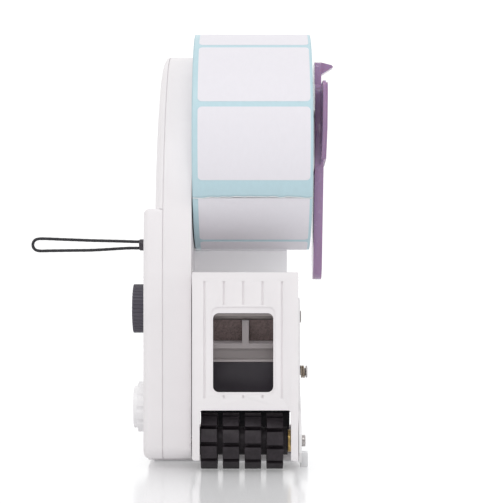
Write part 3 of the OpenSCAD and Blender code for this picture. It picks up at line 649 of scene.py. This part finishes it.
def cover_outline(d):
    """Outline of the side cover, moved in by d millimetres."""
    round_end = HANDLE_H / 2
    rise = STEP_Z - STEP_CORNER - SWEEP_AT[1]
    sweep_top = math.degrees(math.pi - math.asin(rise / (SWEEP_R - d)))
    front_top = SWEEP_AT[0] - math.sqrt((SWEEP_R - d) ** 2 - rise ** 2)
    reach = max(STEP_CORNER - d, LEAST_R)
    return (arc((FRONT_Y + BACK_CORNER, FOOT_Z + BACK_CORNER), BACK_CORNER - d, 180, 270, 12)
            + arc((REAR_Y - HEEL, FOOT_Z + HEEL), HEEL - d, 270, 360, 12)
            + arc((REAR_Y + CROOK, HANDLE_Z - CROOK), CROOK + d, 180, 90, 10)
            + arc((HANDLE_REAR - round_end, HANDLE_Z + round_end), round_end - d, -90, 90, 36)
            + arc((DOME_BACK + NECK, HANDLE_Z + HANDLE_H + NECK), NECK + d, 270, 180, 22)
            + [(DOME_BACK + d, STEP_Z - d)]
            + arc((front_top + reach, STEP_Z - d - reach), reach, 90, 180, 6)
            + arc(SWEEP_AT, SWEEP_R - d, sweep_top, 180, 10))


def shield_outline(d):
    """Outline of the upper shield, moved in by d millimetres on its curved side."""
    low = math.degrees(math.pi - math.asin((STEP_Z - SWEEP_AT[1]) / (SWEEP_R - d)))
    return (arc((DOME_Y, DOME_Z), DOME_R - d, 0, DOME_ANGLE, 48)
            + arc(SWEEP_AT, SWEEP_R - d, DOME_ANGLE, low, 10)
            + [(DOME_BACK - d, STEP_Z)])


def loft(rings):
    """Closed solid through rings of points that all have the same count."""
    count = len(rings[0])
    verts = [p for ring in rings for p in ring]
    faces = [tuple(range(count)), tuple(len(verts) - 1 - k for k in range(count))]
    for i in range(len(rings) - 1):
        for k in range(count):
            a, b = i * count + k, i * count + (k + 1) % count
            faces.append((a, a + count, b + count, b))
    return verts, faces


def ring_at(x, outline):
    """An outline in millimetres, set in the plane at x metres."""
    return [Vector((x, y * MM, z * MM)) for y, z in outline]


def sharp_by_angle(obj, degrees):
    """Turns the faces outwards, and marks the edges steeper than the angle as sharp."""
    mesh = bmesh.new()
    mesh.from_mesh(obj.data)
    bmesh.ops.recalc_face_normals(mesh, faces=mesh.faces)
    limit = math.radians(degrees)
    for e in mesh.edges:
        e.smooth = len(e.link_faces) == 2 and e.calc_face_angle() < limit
    mesh.to_mesh(obj.data)
    mesh.free()


def sink(obj, cutters):
    """Cuts round pockets into a shell: X from, X to, radius, Y and Z of each."""
    for x0, x1, radius, y, z in cutters:
        bpy.ops.mesh.primitive_cylinder_add(vertices=48, radius=radius, depth=x1 - x0,
                                            location=((x0 + x1) / 2, y, z),
                                            rotation=(0, math.pi / 2, 0))
        cutter = bpy.context.object
        cut = obj.modifiers.new("pocket", "BOOLEAN")
        cut.operation = "DIFFERENCE"
        cut.solver = "EXACT"
        cut.object = cutter
        with bpy.context.temp_override(object=obj, active_object=obj, selected_objects=[obj]):
            bpy.ops.object.modifier_apply(modifier="pocket")
        bpy.data.objects.remove(cutter)


def make_side_cover():
    """The side cover: a hollow tray with a fully rounded outer edge."""
    low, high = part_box("side_cover")
    steps = 9
    rings = []
    for i in range(steps + 1):
        a = math.pi / 2 * i / steps
        rings.append(ring_at(low.x + COVER_EDGE * MM * (1 - math.cos(a)),
                             cover_outline(COVER_EDGE * (1 - math.sin(a)))))
    rings.append(ring_at(high.x, cover_outline(0)))
    rings.append(ring_at(high.x, cover_outline(WALL)))
    rings.append(ring_at(low.x + WALL * MM + INNER_CORNER * MM, cover_outline(WALL)))
    rings.append(ring_at(low.x + WALL * MM, cover_outline(WALL + INNER_CORNER)))
    cover = mesh_piece("side_cover_shell", *loft(rings), "frame")
    sink(cover, [(low.x - MM, low.x + POCKET_DEPTH, r + POCKET_GAP, y, z)
                 for y, z, r in round_heads(NODES["cover_screws"], low.x)])
    sharp_by_angle(cover, degrees=32)
    paint(cover, MATERIALS["shell"])
    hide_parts("side_cover")


def round_heads(obj, face_x):
    """Centre and radius of each separate head of a CAD node near the plane X = face_x."""
    points = [v.co for v in obj.data.vertices if abs(v.co.x - face_x) < HEAD_DEPTH]
    groups = []
    for p in points:
        for g in groups:
            if math.hypot(p.y - g[0].y, p.z - g[0].z) < HEAD_SPAN:
                g.append(p)
                break
        else:
            groups.append([p])
    heads = []
    for g in groups:
        y = (min(p.y for p in g) + max(p.y for p in g)) / 2
        z = (min(p.z for p in g) + max(p.z for p in g)) / 2
        heads.append((y, z, max(math.hypot(p.y - y, p.z - z) for p in g)))
    return heads


def make_shield():
    """The upper shield: its edge turns in over a wide, soft shoulder."""
    low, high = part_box("reel_shield")
    depth = high.x - low.x
    steps = 16
    rings = []
    for i in range(steps + 1):
        a = math.pi / 2 * i / steps
        rings.append(ring_at(high.x - depth * math.cos(a) ** CROWN,
                             shield_outline(SHOULDER * (1 - math.sin(a)) ** RUN_IN)))
    rings.append(ring_at(high.x, shield_outline(WALL)))
    rings.append(ring_at(high.x - depth * INSIDE, shield_outline(WALL + TAPER)))
    shield = mesh_piece("reel_shield_shell", *loft(rings), "frame")
    sharp_by_angle(shield, degrees=35)
    paint(shield, MATERIALS["shell"])
    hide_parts("reel_shield")


make_side_cover()
make_shield()


# ---------------------------------------------------------------- floor and light

FLOOR_SIZE, FLOOR_Z = 12, -0.0002


def make_stage():
    bpy.ops.mesh.primitive_plane_add(size=FLOOR_SIZE, location=(0, 0, FLOOR_Z))
    floor = bpy.context.object
    floor.name = "floor"
    s = Shader("floor_gloss", (0.60, 0.60, 0.61), 0.16, Specular_IOR_Level=0.9,
               Emission_Color=(1, 1, 1, 1), Emission_Strength=0.22)
    s.rough(s.noise(9, 3), 0.13, 0.19)
    paint(floor, s.mat)


ROOM_WHITE = 1.12                   # strength of the room behind the object
ROOM_FRONT = 0.50                   # and of the part that it faces
ROOM_SPAN = (-0.7, 0.5)             # between these directions, as Y, one turns into the other


def make_world():
    """A white room that lights the object most from behind, and looks white all round."""
    world = bpy.data.worlds.new("studio")
    bpy.context.scene.world = world
    world.use_nodes = True
    tree = world.node_tree
    coord = tree.nodes.new("ShaderNodeTexCoord")
    split = tree.nodes.new("ShaderNodeSeparateXYZ")
    level = tree.nodes.new("ShaderNodeMapRange")
    tree.links.new(coord.outputs["Generated"], split.inputs["Vector"])
    tree.links.new(split.outputs["Y"], level.inputs["Value"])
    for key, value in zip(("From Min", "From Max", "To Min", "To Max"),
                          (*ROOM_SPAN, ROOM_FRONT, ROOM_WHITE)):
        level.inputs[key].default_value = value
    tree.nodes["Background"].inputs["Color"].default_value = (1, 1, 1, 1)
    seen = tree.nodes.new("ShaderNodeLightPath")
    strength = tree.nodes.new("ShaderNodeMix")
    tree.links.new(seen.outputs["Is Camera Ray"], strength.inputs["Factor"])
    tree.links.new(level.outputs["Result"], strength.inputs["A"])
    strength.inputs["B"].default_value = ROOM_WHITE
    tree.links.new(strength.outputs["Result"], tree.nodes["Background"].inputs["Strength"])


# Each light's place, what it points at, its size and its power in watts
KEY = (-0.25, -0.9, 1.1), (0, 0, 0.14), (0.9, 0.6), 4.2
FILL = (0.9, -0.5, 0.4), (0, 0, 0.12), (0.5, 0.8), 1.2
FRONT = (0.05, -1.0, 0.3), (0.03, 0, 0.14), (0.3, 0.3), 1.2


def area_light(name, place, aim, size, power):
    """A rectangular softbox."""
    data = bpy.data.lights.new(name, "AREA")
    data.shape = "RECTANGLE"
    data.size, data.size_y = size
    data.energy = power
    light = bpy.data.objects.new(name, data)
    light.location = place
    light.rotation_euler = (Vector(aim) - Vector(place)).to_track_quat("-Z", "Y").to_euler()
    bpy.context.scene.collection.objects.link(light)
    return light


make_stage()
make_world()
area_light("key", *KEY)
area_light("fill", *FILL)
front = area_light("front", *FRONT)
front.visible_glossy = False       # it fills shadows, and leaves no spot on the floor
# Plain display response, so that a white studio shows as white
bpy.context.scene.view_settings.view_transform = "Standard"
